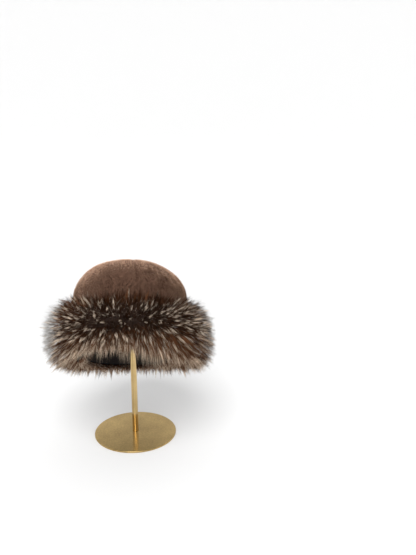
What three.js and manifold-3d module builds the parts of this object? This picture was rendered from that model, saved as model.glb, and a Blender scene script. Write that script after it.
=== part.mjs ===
// A faux fur bucket hat hung on its brass display stand.
// Millimetres, +Z up, origin at the centre of the stand's underside, front of the hat towards -Y.
import * as THREE from "three";
import { mergeVertices } from "three/addons/utils/BufferGeometryUtils.js";
import Module from "manifold-3d";

const wasm = await Module();
wasm.setup();

// Stand
const BASE_DIAMETER = 150;
const BASE_THICKNESS = 3;
const BASE_EDGE_ROUND = 0.8;
const POST_DIAMETER = 11;
const HEAD_DIAMETER = 52;
const HEAD_DOME_RADIUS = 60;
const HEAD_RIM = 2.5;
const HEAD_RINGS = [0.75, 0.5, 0.25, 0];
const HEAD_FILLET = 6;
const FILLET_CUT = 1 - Math.SQRT1_2;

// Crown: an oval wall that rises from the head opening to a shoulder, and a dome above it
const RIM_RADIUS = 95;
const SHOULDER_RADIUS = 102;
const SHOULDER_HEIGHT = 106;
const DOME_RISE = 71;
const DOME_FULLNESS = 2.05;
const OVAL_DEPTH = 1.06;
const CROWN_WALL = 3;
const SEAM_DEPTH = 1.4;
const SEAM_HALF_WIDTH = 3.5;
const SEAM_CROWDING = 0.62;
const SEAM_TURN_DEGREES = 7;
const PRESS_STARTS = 96;
const PRESS_IS_FULL = 121;
const PRESS_CENTRE = 64;

// Lining: a cloth cap that follows the crown's inside
const LINING_GAP = 0.8;
const LINING_WALL = 1.2;

// Fur cuff: a dense roll of underfur round the crown, and locks that fan out from the roll's core
const CUFF_GAP = 0.4;
const HEAD_ROOM = -60;
const CORE_OUT = 12;
const CORE_HEIGHT = 40;
const LOCK_WIDTH = 36;
const LOCK_THICKNESS = 15;
const LOCK_SIDES = 4;
const LOCK_ROOT_SHARE = 0.8;
const LOCK_WIDEST_AT = 0.6;
const PLACE_SPREAD = 0.25;
const REACH_SPREAD = 0.05;
const SWAY_DEGREES = 11;
const SLOPE_SPREAD_DEGREES = 4.5;

// How the hat hangs: its balance point is close to the post's axis, its front is tipped up, and it is turned
// and cocked a little
const BALANCE_ABOVE_RIM = 60;
const BALANCE_ASIDE = -3;
const BALANCE_ABOVE_TABLE = 210;
const TIP_BACK_DEGREES = 32;
const COCK_DEGREES = 1.5;
const TURN_DEGREES = 7;
const SEAT_GAP = 0.35;

// Fineness of the round pieces
const CROWN_SEGMENTS = 48;
const LINING_SEGMENTS = 36;
const CUFF_SEGMENTS = 40;
const DOME_STEPS = 10;
const LINING_DOME_STEPS = 6;
const BASE_SEGMENTS = 56;
const SEAT_RINGS = 12;
const SEAT_STEPS = 40;
const POST_SEGMENTS = 20;
const CROWN_SIDE_HEIGHTS = [0, 36, 72];
const LINING_SIDE_HEIGHTS = [3, 40, 76];

// Soft dents in the dome, and a place where it is fuller, with a depth below 0: where they lie round the hat
// (0 is the right side, 90 the back), how far up the dome (0 is the shoulder, 1 the top), depth and radius
const DENTS = [
  { around: 212, up: 0.72, depth: -2.4, radius: 32 },
  { around: 318, up: 0.55, depth: 1.6, radius: 26 },
  { around: 95, up: 0.62, depth: 2.0, radius: 34 },
];

// Section of the dense underfur: distance out from the crown's wall, and height above the head opening
const UNDERFUR_SECTION = [
  { out: -1, height: 3 },
  { out: 7, height: -9 },
  { out: 18, height: -10 },
  { out: 29, height: -1 },
  { out: 37, height: 18 },
  { out: 39, height: 42 },
  { out: 36, height: 64 },
  { out: 27, height: 83 },
  { out: 14, height: 91 },
  { out: -1, height: 88 },
];

// Rows of locks from the top of the cuff to its underside: slope of the hair (90 points up, -90 down), reach
// from the core to the tip, bend of the tip downwards, and locks in the row
const LOCK_ROWS = [
  { slope: 72, reach: 61, droop: 2, count: 21 },
  { slope: 49, reach: 49, droop: 2, count: 22 },
  { slope: 25, reach: 41, droop: 3, count: 22 },
  { slope: 3, reach: 38, droop: 3, count: 22 },
  { slope: -20, reach: 40, droop: 3, count: 22 },
  { slope: -42, reach: 47, droop: 2, count: 22 },
  { slope: -63, reach: 59, droop: 1, count: 21 },
  { slope: -81, reach: 60, droop: 0, count: 20 },
];

const DEGREE = Math.PI / 180;

const brass = new THREE.MeshStandardMaterial({ color: 0xb8935a, roughness: 0.25, metalness: 1 });
const shearedPile = new THREE.MeshStandardMaterial({ color: 0x6b4c3b, roughness: 0.95, metalness: 0 });
const longFur = new THREE.MeshStandardMaterial({ color: 0x4a352a, roughness: 0.9, metalness: 0 });
const blackCloth = new THREE.MeshStandardMaterial({ color: 0x15120f, roughness: 0.85, metalness: 0 });

// What is drawn for each lock, and the steps that scatter the draws
const DRAWS = { around: 1, slope: 2, sway: 3, reach: 4 };
const SCATTER = { draw: 74.7, row: 127.1, index: 311.7, stretch: 43758.5453 };
const MERGE_DISTANCE = 1e-4;

// A fixed number from -1 to 1 for one draw of one lock, so that the locks differ and every run agrees.
function chance(draw, row, index) {
  const angle = draw * SCATTER.draw + row * SCATTER.row + index * SCATTER.index;
  const value = Math.sin(angle) * SCATTER.stretch;
  return 2 * (value - Math.floor(value)) - 1;
}

// A profile of [radius, height] rows turned about +Z, its vertices shared. A profile that runs up its
// outside and down its inside is turned with its faces outwards.
function turned(profile, segments) {
  const points = profile.map(([radius, height]) => new THREE.Vector2(radius, height));
  return sharedVertices(new THREE.LatheGeometry(points, segments).rotateX(Math.PI / 2));
}

// The geometry with only its positions, its doubled vertices merged and its collapsed faces left out.
function sharedVertices(geometry) {
  geometry.deleteAttribute("normal");
  geometry.deleteAttribute("uv");
  const merged = mergeVertices(geometry, MERGE_DISTANCE);
  const corners = [];
  for (let i = 0; i < merged.index.count; i += 3) {
    const [a, b, c] = [0, 1, 2].map((k) => merged.index.getX(i + k));
    if (a !== b && b !== c && c !== a) corners.push(a, b, c);
  }
  return merged.setIndex(corners);
}

// Moves every vertex of a geometry by a function of its place.
function reshaped(geometry, change) {
  const place = geometry.getAttribute("position");
  const point = new THREE.Vector3();
  for (let i = 0; i < place.count; i++) {
    point.fromBufferAttribute(place, i);
    change(point);
    place.setXYZ(i, point.x, point.y, point.z);
  }
  return geometry;
}

function solidOf(geometry) {
  return new wasm.Manifold(
    new wasm.Mesh({
      numProp: 3,
      vertProperties: new Float32Array(geometry.getAttribute("position").array),
      triVerts: new Uint32Array(geometry.index.array),
    }),
  );
}

function geometryOf(solid) {
  const { vertProperties, triVerts } = solid.getMesh();
  return new THREE.BufferGeometry()
    .setAttribute("position", new THREE.BufferAttribute(vertProperties, 3))
    .setIndex(new THREE.BufferAttribute(triVerts, 1));
}

function named(name, geometry, material) {
  geometry.computeVertexNormals();
  const mesh = new THREE.Mesh(geometry, material);
  mesh.name = name;
  return mesh;
}

// Radius of the crown's outside at a height above the head opening, along the hat's width.
function crownRadius(height) {
  if (height <= SHOULDER_HEIGHT) {
    const share = Math.max(height, 0) / SHOULDER_HEIGHT;
    return THREE.MathUtils.lerp(RIM_RADIUS, SHOULDER_RADIUS, Math.sin((share * Math.PI) / 2));
  }
  const rise = Math.min((height - SHOULDER_HEIGHT) / DOME_RISE, 1);
  return SHOULDER_RADIUS * (1 - rise ** DOME_FULLNESS) ** (1 / DOME_FULLNESS);
}

// The crown's section from its head opening to its top, set in from the outside by a distance.
function capSection(inset, sideHeights, domeSteps) {
  const side = sideHeights.map((height) => [crownRadius(height) - inset, height]);
  const dome = Array.from({ length: domeSteps + 1 }, (_, step) => {
    const angle = (step / domeSteps) * (Math.PI / 2);
    const power = 2 / DOME_FULLNESS;
    return [
      (SHOULDER_RADIUS - inset) * Math.cos(angle) ** power,
      SHOULDER_HEIGHT + (DOME_RISE - inset) * Math.sin(angle) ** power,
    ];
  });
  dome[domeSteps][0] = 0;
  return [...side, ...dome];
}

// A cap with an outside and an inside, open at the head.
function capWall(inset, wall, sideHeights, domeSteps, segments) {
  const outside = capSection(inset, sideHeights, domeSteps);
  const inside = capSection(inset + wall, sideHeights, domeSteps).reverse();
  return turned([...outside, ...inside, outside[0]], segments);
}

// Crowds the turned segments towards the seam, which runs from the front to the back, turned a little.
function crowdToSeam(point) {
  const radius = Math.hypot(point.x, point.y);
  const around = Math.atan2(point.y, point.x);
  const crowded = around + (SEAM_CROWDING / 2) * Math.sin(2 * around) + SEAM_TURN_DEGREES * DEGREE;
  point.x = radius * Math.cos(crowded);
  point.y = radius * Math.sin(crowded);
}

// Presses the seam and the dents into the dome, towards the middle of the hat and only above the cuff.
function pressDome(point) {
  const up = THREE.MathUtils.smoothstep(point.z, PRESS_STARTS, PRESS_IS_FULL);
  const turn = SEAM_TURN_DEGREES * DEGREE;
  const fromSeam = point.x * Math.cos(turn) + point.y * Math.sin(turn);
  const seam = SEAM_DEPTH * Math.exp(-((fromSeam / SEAM_HALF_WIDTH) ** 2));
  const dents = DENTS.reduce((sum, dent) => {
    const height = SHOULDER_HEIGHT + DOME_RISE * dent.up;
    const radius = crownRadius(height);
    const dx = point.x - radius * Math.cos(dent.around * DEGREE);
    const dy = point.y - radius * Math.sin(dent.around * DEGREE);
    const distance2 = dx * dx + dy * dy + (point.z - height) ** 2;
    return sum + dent.depth * Math.exp(-distance2 / dent.radius ** 2);
  }, 0);
  const inwards = new THREE.Vector3(-point.x, -point.y, PRESS_CENTRE - point.z).normalize();
  point.addScaledVector(inwards, (seam + dents) * up);
}

function stretchOval(point) {
  point.y *= OVAL_DEPTH;
}

function crownGeometry() {
  const cap = capWall(0, CROWN_WALL, CROWN_SIDE_HEIGHTS, DOME_STEPS, CROWN_SEGMENTS);
  return [crowdToSeam, pressDome, stretchOval].reduce(reshaped, cap);
}

function liningGeometry() {
  const inset = CROWN_WALL + LINING_GAP;
  const cap = capWall(inset, LINING_WALL, LINING_SIDE_HEIGHTS, LINING_DOME_STEPS, LINING_SEGMENTS);
  return [crowdToSeam, pressDome, stretchOval].reduce(reshaped, cap);
}

// One lock of fur: a flat, pointed tuft that grows along +Z from its root and bends towards +X.
function lockGeometry(reach, droop) {
  const tuft = [
    [0, 0],
    [LOCK_ROOT_SHARE / 2, 0],
    [1 / 2, LOCK_WIDEST_AT * reach],
    [0, reach],
  ];
  return reshaped(turned(tuft, LOCK_SIDES), (point) => {
    point.x = point.x * LOCK_THICKNESS + droop * (point.z / reach) ** 2;
    point.y *= LOCK_WIDTH;
  });
}

// A lock's place on the hat: its root on the roll's core, and its way out, up or down, and a little aside.
function lockPlace(row, rowIndex, index) {
  const draw = (name) => chance(DRAWS[name], rowIndex, index);
  const step = index + (rowIndex % 2) / 2 + PLACE_SPREAD * draw("around");
  const around = (step / row.count) * 2 * Math.PI;
  const sway = SWAY_DEGREES * draw("sway") * DEGREE;
  const slope = (row.slope + SLOPE_SPREAD_DEGREES * draw("slope")) * DEGREE;
  return new THREE.Matrix4()
    .makeRotationZ(around)
    .multiply(new THREE.Matrix4().makeTranslation(crownRadius(CORE_HEIGHT) + CORE_OUT, 0, CORE_HEIGHT))
    .multiply(new THREE.Matrix4().makeRotationZ(sway))
    .multiply(new THREE.Matrix4().makeRotationY(Math.PI / 2 - slope));
}

// The room that the crown and the head opening below it take out of the cuff, with the cuff's gap all round.
function crownRoom() {
  const cap = capSection(-CUFF_GAP, CROWN_SIDE_HEIGHTS, DOME_STEPS);
  return reshaped(turned([[0, HEAD_ROOM], [cap[0][0], HEAD_ROOM], ...cap], CROWN_SEGMENTS), crowdToSeam);
}

// The cuff: locks fused to the dense underfur that backs them.
function furGeometry() {
  const section = UNDERFUR_SECTION.map(({ out, height }) => [crownRadius(height) + out, height]);
  const locks = LOCK_ROWS.flatMap((row, rowIndex) =>
    Array.from({ length: row.count }, (_, index) => {
      const reach = row.reach * (1 + REACH_SPREAD * chance(DRAWS.reach, rowIndex, index));
      return lockGeometry(reach, row.droop).applyMatrix4(lockPlace(row, rowIndex, index));
    }),
  );
  const underfur = solidOf(turned([...section, section[0]], CUFF_SEGMENTS));
  const fused = locks.map(solidOf).reduce((sum, lock) => sum.add(lock), underfur);
  const cuff = fused.subtract(solidOf(crownRoom()));
  return reshaped(geometryOf(cuff), stretchOval);
}

function baseGeometry() {
  const radius = BASE_DIAMETER / 2;
  return turned(
    [
      [0, 0],
      [radius - BASE_EDGE_ROUND, 0],
      [radius, BASE_EDGE_ROUND],
      [radius, BASE_THICKNESS - BASE_EDGE_ROUND],
      [radius - BASE_EDGE_ROUND, BASE_THICKNESS],
      [0, BASE_THICKNESS],
    ],
    BASE_SEGMENTS,
  );
}

// The post and its head, up to the height where the crown's lining hangs on it.
function postGeometry(top) {
  const radius = POST_DIAMETER / 2;
  const headRadius = HEAD_DIAMETER / 2;
  const domeAt = (r) => top - HEAD_DOME_RADIUS + Math.sqrt(HEAD_DOME_RADIUS ** 2 - r * r);
  const rimTop = domeAt(headRadius);
  const dome = HEAD_RINGS.map((share) => [headRadius * share, domeAt(headRadius * share)]);
  return turned(
    [
      [0, BASE_THICKNESS],
      [radius, BASE_THICKNESS],
      [radius, rimTop - HEAD_RIM - HEAD_FILLET],
      [radius + FILLET_CUT * HEAD_FILLET, rimTop - HEAD_RIM - FILLET_CUT * HEAD_FILLET],
      [radius + HEAD_FILLET, rimTop - HEAD_RIM],
      [headRadius, rimTop - HEAD_RIM],
      [headRadius, rimTop],
      ...dome,
    ],
    POST_SEGMENTS,
  );
}

const stand = new THREE.Group();
const hat = new THREE.Group();
const hatAtBalance = new THREE.Group();

hat.add(named("crown", crownGeometry(), shearedPile));
hat.add(named("lining", liningGeometry(), blackCloth));
hat.add(named("fur_brim", furGeometry(), longFur));
hat.position.z = -BALANCE_ABOVE_RIM;

hatAtBalance.add(hat);
hatAtBalance.position.set(BALANCE_ASIDE, 0, BALANCE_ABOVE_TABLE);
hatAtBalance.rotation.set(
  -TIP_BACK_DEGREES * DEGREE,
  COCK_DEGREES * DEGREE,
  TURN_DEGREES * DEGREE,
  "ZXY",
);

// The height of the post's top: above each point of its head the lining keeps at least the seat's gap.
function seatHeight() {
  hatAtBalance.updateMatrixWorld(true);
  const lining = hat.getObjectByName("lining");
  const ray = new THREE.Raycaster();
  const up = new THREE.Vector3(0, 0, 1);
  let lowest = Infinity;
  for (let ring = 0; ring <= SEAT_RINGS; ring++) {
    const r = (HEAD_DIAMETER / 2) * (ring / SEAT_RINGS);
    const dropOfDome = HEAD_DOME_RADIUS - Math.sqrt(HEAD_DOME_RADIUS ** 2 - r * r);
    for (let step = 0; step < SEAT_STEPS; step++) {
      const around = (step / SEAT_STEPS) * 2 * Math.PI;
      ray.set(new THREE.Vector3(r * Math.cos(around), r * Math.sin(around), BALANCE_ABOVE_TABLE), up);
      const inside = ray.intersectObject(lining)[0];
      lowest = Math.min(lowest, inside.point.z + dropOfDome);
    }
  }
  return lowest - SEAT_GAP;
}

stand.add(named("stand_base", baseGeometry(), brass));
stand.add(named("stand_post", postGeometry(seatHeight()), brass));

const hatOnStand = new THREE.Group();
hatOnStand.add(stand, hatAtBalance);

export default hatOnStand;
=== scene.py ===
# A faux fur bucket hat hung on its brass display stand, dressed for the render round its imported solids.
# Metres, +Z up, origin at the centre of the stand's underside, front of the hat towards -Y.
import math

import bpy
import numpy as np
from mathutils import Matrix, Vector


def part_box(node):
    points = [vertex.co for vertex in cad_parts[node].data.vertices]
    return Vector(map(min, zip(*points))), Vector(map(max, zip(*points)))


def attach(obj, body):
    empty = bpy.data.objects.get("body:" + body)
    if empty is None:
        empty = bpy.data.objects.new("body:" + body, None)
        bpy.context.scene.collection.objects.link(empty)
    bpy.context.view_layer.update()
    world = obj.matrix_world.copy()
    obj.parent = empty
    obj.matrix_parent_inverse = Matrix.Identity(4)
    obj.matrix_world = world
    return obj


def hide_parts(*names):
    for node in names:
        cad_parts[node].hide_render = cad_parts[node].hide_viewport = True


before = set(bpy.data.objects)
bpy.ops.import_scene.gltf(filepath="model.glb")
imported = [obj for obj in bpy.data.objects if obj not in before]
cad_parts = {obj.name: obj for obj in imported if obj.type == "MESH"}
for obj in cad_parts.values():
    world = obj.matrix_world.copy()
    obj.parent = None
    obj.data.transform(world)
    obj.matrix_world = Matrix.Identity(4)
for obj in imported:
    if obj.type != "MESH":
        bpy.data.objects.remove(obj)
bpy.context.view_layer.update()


# Camera: stands in front of the hat, a little to the right of it and above it, and looks slightly down.
# Its lens is a short tele lens, and everything is sharp.
CAMERA_PLACE = (0.1351, -1.088, 0.603)
CAMERA_DROP_DEGREES = 15.58
LENS_MM = 42.0
SENSOR_MM = 36.0

camera = bpy.data.objects.new("camera", bpy.data.cameras.new("camera"))
camera.data.lens = LENS_MM
camera.data.sensor_width = SENSOR_MM
camera.location = CAMERA_PLACE
camera.rotation_euler = (math.radians(90 - CAMERA_DROP_DEGREES), 0, 0)
bpy.context.scene.collection.objects.link(camera)
bpy.context.scene.camera = camera
bpy.context.scene.view_settings.view_transform = "Standard"


# Floor: one wide sheet of pale studio paper that lies under the stand and sweeps up behind it as a backdrop.
# It is the stage and no part of the object. The paper is painted a little greyer where it lies further back
# and where it stands up: painted shade.
FLOOR_FRONT = -3.0
SWEEP_START = 1.0
SWEEP_RADIUS = 0.45
SWEEP_STEPS = 24
WALL_TOP = 3.0
PAPER_HALF_WIDTH = 4.0
PAPER_FLOOR_COLOUR = (0.80, 0.80, 0.80, 1)
PAPER_WALL_SHADED_COLOUR = (0.69, 0.69, 0.69, 1)
PAPER_FADE = (0.25, 0.6)


def add_piece(name, mesh, material):
    """An object at the origin that shows a mesh in one material."""
    mesh.materials.append(material)
    piece = bpy.data.objects.new(name, mesh)
    bpy.context.scene.collection.objects.link(piece)
    return piece


def new_node(tree, kind, inputs=None, **settings):
    """A node of one kind with its own settings; inputs gives a socket a value or another node's output."""
    node = tree.nodes.new("ShaderNode" + kind)
    for key, value in settings.items():
        setattr(node, key, value)
    for socket, value in (inputs or {}).items():
        if isinstance(value, bpy.types.NodeSocket):
            tree.links.new(value, node.inputs[socket])
        else:
            node.inputs[socket].default_value = value
    return node


def mixed(tree, amount, first, second):
    """The colour between two colours, by an amount from 0 to 1."""
    mix = new_node(tree, "Mix", {"Factor": amount, "A": first, "B": second}, data_type="RGBA")
    return mix.outputs["Result"]


def new_material(name, **constants):
    """A material and its shader, with constants on the shader's own sockets (spaces written as _)."""
    material = bpy.data.materials.new(name)
    material.use_nodes = True
    shader = material.node_tree.nodes["Principled BSDF"]
    for socket, value in constants.items():
        shader.inputs[socket.replace("_", " ")].default_value = value
    return material, shader


def paper_sheet():
    """The sweep's section (flat floor, a quarter circle, upright wall) carried from side to side."""
    turn = np.linspace(0, math.pi / 2, SWEEP_STEPS)
    depth = np.r_[FLOOR_FRONT, SWEEP_START + SWEEP_RADIUS * np.sin(turn), SWEEP_START + SWEEP_RADIUS]
    height = np.r_[0, SWEEP_RADIUS * (1 - np.cos(turn)), WALL_TOP]
    side = np.array([-PAPER_HALF_WIDTH, PAPER_HALF_WIDTH])
    points = np.stack(np.broadcast_arrays(side[None, :], depth[:, None], height[:, None]), axis=-1)
    first = 2 * np.arange(len(depth) - 1)
    mesh = bpy.data.meshes.new("paper_sweep")
    mesh.from_pydata(points.reshape(-1, 3), [], np.c_[first, first + 1, first + 3, first + 2].tolist())
    mesh.polygons.foreach_set("use_smooth", np.ones(len(first), bool))
    return mesh


paper, paper_shader = new_material("studio_paper", Roughness=0.9)
tree = paper.node_tree
place = new_node(tree, "SeparateXYZ", {"Vector": new_node(tree, "TexCoord").outputs["Object"]})
# Painted shade: the paper passes to a greyer tone towards the back.
behind = {"Value": place.outputs["Y"], "From Min": PAPER_FADE[0], "From Max": PAPER_FADE[1]}
fade = new_node(tree, "MapRange", behind).outputs["Result"]
tree.links.new(mixed(tree, fade, PAPER_FLOOR_COLOUR, PAPER_WALL_SHADED_COLOUR), paper_shader.inputs["Base Color"])
paper_sweep = add_piece("paper_sweep", paper_sheet(), paper)


# Lights: one very large soft light far off in front, high up and a touch to the left.
# An even pale surround stands for the white room.
KEY_ELEVATION_DEGREES = 48
KEY_AZIMUTH_DEGREES = -5
KEY_ANGLE_DEGREES = 40
KEY_STRENGTH = 2.6
SURROUND_COLOUR = (1, 1, 1, 1)
SURROUND_STRENGTH = 0.74

key = bpy.data.objects.new("key", bpy.data.lights.new("key", "SUN"))
key.data.angle = math.radians(KEY_ANGLE_DEGREES)
key.data.energy = KEY_STRENGTH
key.rotation_euler = (math.radians(90 - KEY_ELEVATION_DEGREES), 0, math.radians(KEY_AZIMUTH_DEGREES))
bpy.context.scene.collection.objects.link(key)

world = bpy.data.worlds.new("surround")
world.use_nodes = True
world.node_tree.nodes["Background"].inputs["Color"].default_value = SURROUND_COLOUR
world.node_tree.nodes["Background"].inputs["Strength"].default_value = SURROUND_STRENGTH
bpy.context.scene.world = world


# Stand base: a thin round plate of brass that stands flat on the table.
# It is turned on a lathe with its two edges rounded off, and its top is brushed from side to side.
BASE_RADIUS = 0.075
BASE_THICKNESS = 0.003
BASE_EDGE_ROUND = 0.0008
BASE_EDGE_STEPS = 6
BASE_RINGS = (0.98, 0.5)
BASE_SEGMENTS = 160
BASE_DULL = (0.385, 0.268, 0.106, 1)
BASE_BRIGHT = (0.565, 0.396, 0.163, 1)
BASE_ROUGHNESS = (0.36, 0.28)
BASE_BRUSHING = 0.9
BRASS_METALLIC = 0.94
BRASS_STREAKS_PER_METRE = (330, 330, 5)


def skin(name, rows, around=False):
    """A surface through rows of points round an axis: each row joins the next by quads, or by triangles if
    one of them is a pole, a single point. With around, the last row joins the first."""
    chain = rows + rows[:1] if around else rows
    starts = np.cumsum([0] + [len(row) for row in rows])
    begins = list(starts[:-1]) + [0]
    faces = []
    for a, b, i, j in zip(chain, chain[1:], begins, begins[1:]):
        k = np.arange(max(len(a), len(b)))
        after = (k + 1) % len(k)
        if len(a) == 1:
            faces += np.c_[0 * k + i, j + after, j + k].tolist()
        elif len(b) == 1:
            faces += np.c_[i + k, i + after, 0 * k + j].tolist()
        else:
            faces += np.c_[i + k, i + after, j + after, j + k].tolist()
    mesh = bpy.data.meshes.new(name)
    mesh.from_pydata(np.concatenate(rows), [], faces)
    mesh.polygons.foreach_set("use_smooth", np.ones(len(faces), bool))
    return mesh


def turned(profile, segments):
    """Rows of points for a profile of (radius, height) points turned about +Z; a radius of 0 is a pole."""
    angle = np.linspace(0, 2 * math.pi, segments, endpoint=False)
    circle = np.c_[np.cos(angle), np.sin(angle), 0 * angle]
    return [
        radius * circle + [0, 0, height] if radius > 0 else np.array([[0, 0, height]])
        for radius, height in profile
    ]


def corner(centre, radius, start, end, steps):
    """Points of an arc about a centre, from a start angle to an end angle in degrees."""
    angle = np.radians(np.linspace(start, end, steps))
    return np.c_[centre[0] + radius * np.cos(angle), centre[1] + radius * np.sin(angle)]


def new_group(name, inputs, outputs):
    """A node group with sockets of the kinds named, what it is given and what it puts out."""
    group = bpy.data.node_groups.new(name, "ShaderNodeTree")
    for in_out, sockets in (("INPUT", inputs), ("OUTPUT", outputs)):
        for socket, kind in sockets.items():
            group.interface.new_socket(socket, in_out=in_out, socket_type="NodeSocket" + kind)
    given = group.nodes.new("NodeGroupInput").outputs
    return group, given, group.nodes.new("NodeGroupOutput").inputs


def brass_finish():
    """Node group: clouds, and streaks drawn along Z, shift brass between a dull and a bright tone. Its
    roughness drifts between two limits with the clouds, and the streaks stand up a little."""
    inputs = {"Dull": "Color", "Bright": "Color", "Roughest": "Float", "Smoothest": "Float"}
    outputs = {"Colour": "Color", "Roughness": "Float", "Normal": "Vector"}
    group, given, result = new_group("brass_finish", inputs, outputs)
    place = new_node(group, "TexCoord").outputs["Object"]
    cloud = new_node(group, "TexNoise", {"Vector": place, "Scale": 24.0, "Detail": 5.0, "Roughness": 0.6})
    along = new_node(group, "Mapping", {"Vector": place, "Scale": BRASS_STREAKS_PER_METRE})
    streak = new_node(group, "TexNoise", {"Vector": along.outputs["Vector"], "Scale": 1.0, "Detail": 3.0})
    amount = new_node(group, "Math", {0: cloud.outputs["Fac"], 1: streak.outputs["Fac"]}, operation="ADD")
    limits = {"Value": amount.outputs["Value"], "From Min": 0.75, "From Max": 1.25}
    spread = new_node(group, "MapRange", limits).outputs["Result"]
    polish = {"Value": cloud.outputs["Fac"], "To Min": given["Roughest"], "To Max": given["Smoothest"]}
    gloss = new_node(group, "MapRange", polish).outputs["Result"]
    bump = new_node(group, "Bump", {"Height": streak.outputs["Fac"], "Strength": 0.05, "Distance": 0.0002})
    group.links.new(mixed(group, spread, given["Dull"], given["Bright"]), result["Colour"])
    group.links.new(gloss, result["Roughness"])
    group.links.new(bump.outputs["Normal"], result["Normal"])
    return group


shared_brass = brass_finish()


def brass_metal(name, dull, bright, roughness, **constants):
    """Brass in the shared finish, with its own tones, limits of roughness and other constants."""
    material, shader = new_material(name, Metallic=BRASS_METALLIC, **constants)
    tree = material.node_tree
    values = {"Dull": dull, "Bright": bright, "Roughest": roughness[0], "Smoothest": roughness[1]}
    finish = new_node(tree, "Group", values, node_tree=shared_brass)
    for output, socket in (("Colour", "Base Color"), ("Roughness", "Roughness"), ("Normal", "Normal")):
        tree.links.new(finish.outputs[output], shader.inputs[socket])
    return material


base_flat = BASE_RADIUS - BASE_EDGE_ROUND
base_outer, base_inner = (base_flat * share for share in BASE_RINGS)
base_profile = np.concatenate([
    [[0, 0], [base_inner, 0]],
    corner((base_flat, BASE_EDGE_ROUND), BASE_EDGE_ROUND, -90, 0, BASE_EDGE_STEPS),
    corner((base_flat, BASE_THICKNESS - BASE_EDGE_ROUND), BASE_EDGE_ROUND, 0, 90, BASE_EDGE_STEPS),
    [[base_outer, BASE_THICKNESS], [base_inner, BASE_THICKNESS], [0, BASE_THICKNESS]],
])

base_brass = brass_metal("base_brass", BASE_DULL, BASE_BRIGHT, BASE_ROUGHNESS, Anisotropic=BASE_BRUSHING)
tree = base_brass.node_tree
across_brushing = new_node(tree, "CombineXYZ", {"Y": 1.0}).outputs["Vector"]
tree.links.new(across_brushing, tree.nodes["Principled BSDF"].inputs["Tangent"])
base_rows = turned(base_profile, BASE_SEGMENTS)
stand_base = add_piece("brass_base", skin("brass_base", base_rows), base_brass)
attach(stand_base, "root")
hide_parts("stand_base")


# Stand post: a slim brass rod that rises from the middle of the base to a low-domed head inside the hat.
# The rod is drawn and polished, and the head is spun from sheet and fixed to its end.
POST_RADIUS = 0.0055
POST_EDGE = 0.0003
HEAD_RADIUS = 0.026
HEAD_DOME_RADIUS = 0.060
HEAD_RIM = 0.0025
HEAD_FILLET = 0.006
HEAD_EDGE = 0.0006
FILLET_STEPS = 7
EDGE_STEPS = 4
DOME_STEPS = 12
POST_SEGMENTS = 64
POST_DULL = (0.38, 0.262, 0.108, 1)
POST_BRIGHT = (0.64, 0.465, 0.22, 1)
POST_ROUGHNESS = (0.16, 0.08)

post_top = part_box("stand_post")[1].z
dome_centre = post_top - HEAD_DOME_RADIUS
rim_top = dome_centre + math.sqrt(HEAD_DOME_RADIUS**2 - HEAD_RADIUS**2)
rim_low = rim_top - HEAD_RIM
dome_span = math.degrees(math.acos(HEAD_RADIUS / HEAD_DOME_RADIUS))
post_profile = np.concatenate([
    [[0, BASE_THICKNESS], [POST_RADIUS - POST_EDGE, BASE_THICKNESS]],
    [[POST_RADIUS, BASE_THICKNESS + POST_EDGE], [POST_RADIUS, BASE_THICKNESS + 3 * POST_EDGE]],
    [[POST_RADIUS, 0.5 * rim_low]],
    corner((POST_RADIUS + HEAD_FILLET, rim_low - HEAD_FILLET), HEAD_FILLET, 180, 90, FILLET_STEPS),
    corner((HEAD_RADIUS - HEAD_EDGE, rim_low + HEAD_EDGE), HEAD_EDGE, -90, 0, EDGE_STEPS),
    corner((0, dome_centre), HEAD_DOME_RADIUS, dome_span, 90, DOME_STEPS)[:-1],
    [[0, post_top]],
])

post_brass = brass_metal("post_brass", POST_DULL, POST_BRIGHT, POST_ROUGHNESS)
post_rows = turned(post_profile, POST_SEGMENTS)
stand_post = add_piece("brass_post", skin("brass_post", post_rows), post_brass)
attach(stand_post, "root")
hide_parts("stand_post")


# Crown: the domed cap of the hat, sewn from two halves of short sheared pile with a seam from front to back.
# Its lower half is hidden in the fur cuff. The wall is the backing cloth, and the pile stands on it.
# The dome has soft dents, and one fuller place, whose depth is below 0.
RIM_RADIUS = 0.095
SHOULDER_RADIUS = 0.102
SHOULDER_HEIGHT = 0.106
DOME_RISE = 0.071
DOME_FULLNESS = 2.05
SIDE_SHARE = 0.45
OVAL_DEPTH = 1.06
CROWN_WALL = 0.003
CROWN_STEPS = 44
CROWN_SEGMENTS = 96
SEAM_DEPTH = 0.0014
SEAM_HALF_WIDTH = 0.0035
SEAM_TURN_DEGREES = 7
PRESS_STARTS = 0.096
PRESS_IS_FULL = 0.121
PRESS_CENTRE = 0.064
DENTS = [
    {"around": 212, "up": 0.72, "depth": -0.0024, "radius": 0.032},
    {"around": 318, "up": 0.55, "depth": 0.0016, "radius": 0.026},
    {"around": 95, "up": 0.62, "depth": 0.0020, "radius": 0.034},
]
BALANCE_ABOVE_RIM = 0.060
BALANCE_PLACE = (-0.003, 0, 0.210)
TIP_BACK_DEGREES = 32
COCK_DEGREES = 1.5
TURN_DEGREES = 7
BACKING_INSET = 0.0024
# The backing is near black below the pile: painted shade under the fur cuff.
BACKING_PAINTED_SHADE = (0.010, 0.007, 0.006, 1)
BACKING_BROWN = (0.10, 0.048, 0.028, 1)
PILE_LENGTH = 0.0036
PILE_LENGTH_SPREAD = (0.65, 1.2)
PILE_THICKNESS = 0.00044
PILE_ROOT_DEPTH = 0.0004
PILE_HAIRS = 36000
PILE_DRAWS = 4
PILE_LOWEST = 0.078
PILE_TOPMOST = 0.9999
PILE_LEAN = 0.75
PILE_LEAN_DRIFT = 0.4
PILE_WAVE = 0.45
PILE_RUFFLE = 0.18
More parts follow.
